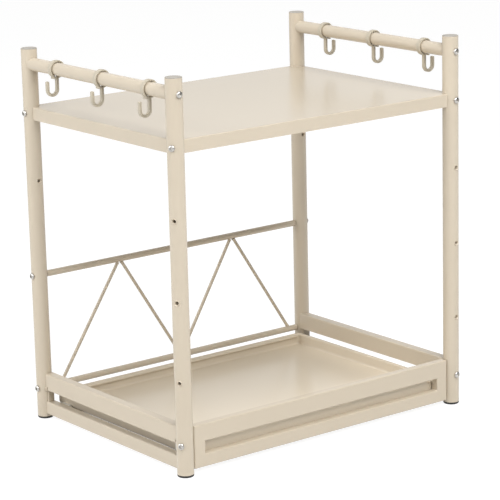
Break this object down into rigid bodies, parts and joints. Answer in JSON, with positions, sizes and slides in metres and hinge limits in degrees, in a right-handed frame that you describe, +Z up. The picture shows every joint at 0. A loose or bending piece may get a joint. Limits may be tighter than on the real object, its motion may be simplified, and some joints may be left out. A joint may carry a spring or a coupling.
{
  "type": "storage organizer with drawer",
  "caption": "Free-standing steel organizer: round posts, a flat upper shelf, hook rails, a braced back and a shallow pull-out tray drawer at the base.",
  "frame": {"origin": "on the floor, at the centre of the object's box", "axes": "+Z up, X along the long side, -Y the front, where the drawer pulls out"},
  "size_m": [0.5638, 0.4063, 0.59],
  "materials": {
    "cream_paint": "smooth semi-gloss cream powder coat",
    "cream_plastic": "satin moulded plastic, a little greyer than the paint",
    "bolt_steel": "bright plated steel",
    "black_rubber": "matt black",
    "white_nylon": "plain white nylon"
  },
  "bodies": {
    "rack": {"post_front_left": "cream_paint", "post_cap_front_left": "cream_plastic", "foot_front_left": "black_rubber", "base_corner_front_left": "cream_paint", "rail_bolt_front_left": "bolt_steel", "shelf_bolt_front_left": "bolt_steel", "base_bolt_front_left": "bolt_steel", "post_front_right": "cream_paint", "post_cap_front_right": "cream_plastic", "foot_front_right": "black_rubber", "base_corner_front_right": "cream_paint", "rail_bolt_front_right": "bolt_steel", "shelf_bolt_front_right": "bolt_steel", "base_bolt_front_right": "bolt_steel", "post_rear_left": "cream_paint", "post_cap_rear_left": "cream_plastic", "foot_rear_left": "black_rubber", "base_corner_rear_left": "cream_paint", "rail_bolt_rear_left": "bolt_steel", "shelf_bolt_rear_left": "bolt_steel", "base_bolt_rear_left": "bolt_steel", "post_rear_right": "cream_paint", "post_cap_rear_right": "cream_plastic", "foot_rear_right": "black_rubber", "base_corner_rear_right": "cream_paint", "rail_bolt_rear_right": "bolt_steel", "shelf_bolt_rear_right": "bolt_steel", "base_bolt_rear_right": "bolt_steel", "back_bar_bolt_rear_left": "bolt_steel", "back_bar_bolt_rear_right": "bolt_steel", "shelf": "cream_paint", "shelf_stiffener": "cream_paint", "cross_rail_front": "cream_paint", "cross_rail_rear": "cream_paint", "back_bar_upper": "cream_paint", "back_bar_lower": "cream_paint", "brace_wire_1": "cream_paint", "brace_wire_2": "cream_paint", "brace_wire_3": "cream_paint", "brace_wire_4": "cream_paint", "side_upper_band_left": "cream_paint", "side_lower_band_left": "cream_paint", "side_rail_left": "cream_paint", "front_glide_left": "white_nylon", "side_upper_band_right": "cream_paint", "side_lower_band_right": "cream_paint", "side_rail_right": "cream_paint", "front_glide_right": "white_nylon"},
    "drawer": {"drawer_front": "cream_paint", "drawer_pan": "cream_paint", "drawer_glide_left": "white_nylon", "drawer_glide_right": "white_nylon"},
    "hook_left_1": {"hook_left_1": "cream_plastic"},
    "hook_left_2": {"hook_left_2": "cream_plastic"},
    "hook_left_3": {"hook_left_3": "cream_plastic"},
    "hook_right_1": {"hook_right_1": "cream_plastic"},
    "hook_right_2": {"hook_right_2": "cream_plastic"},
    "hook_right_3": {"hook_right_3": "cream_plastic"}
  },
  "joints": [
    {"name": "drawer_slide", "type": "slide", "parent": "rack", "child": "drawer", "axis": [0, -1, 0], "range_m": [0, 0.26]},
    {"name": "hook_left_1_slide", "type": "slide", "parent": "rack", "child": "hook_left_1", "axis": [0, 1, 0], "range_m": [-0.04, 0.04]},
    {"name": "hook_left_2_slide", "type": "slide", "parent": "rack", "child": "hook_left_2", "axis": [0, 1, 0], "range_m": [-0.04, 0.04]},
    {"name": "hook_left_3_slide", "type": "slide", "parent": "rack", "child": "hook_left_3", "axis": [0, 1, 0], "range_m": [-0.04, 0.04]},
    {"name": "hook_right_1_slide", "type": "slide", "parent": "rack", "child": "hook_right_1", "axis": [0, 1, 0], "range_m": [-0.04, 0.04]},
    {"name": "hook_right_2_slide", "type": "slide", "parent": "rack", "child": "hook_right_2", "axis": [0, 1, 0], "range_m": [-0.04, 0.04]},
    {"name": "hook_right_3_slide", "type": "slide", "parent": "rack", "child": "hook_right_3", "axis": [0, 1, 0], "range_m": [-0.04, 0.04]}
  ]
}
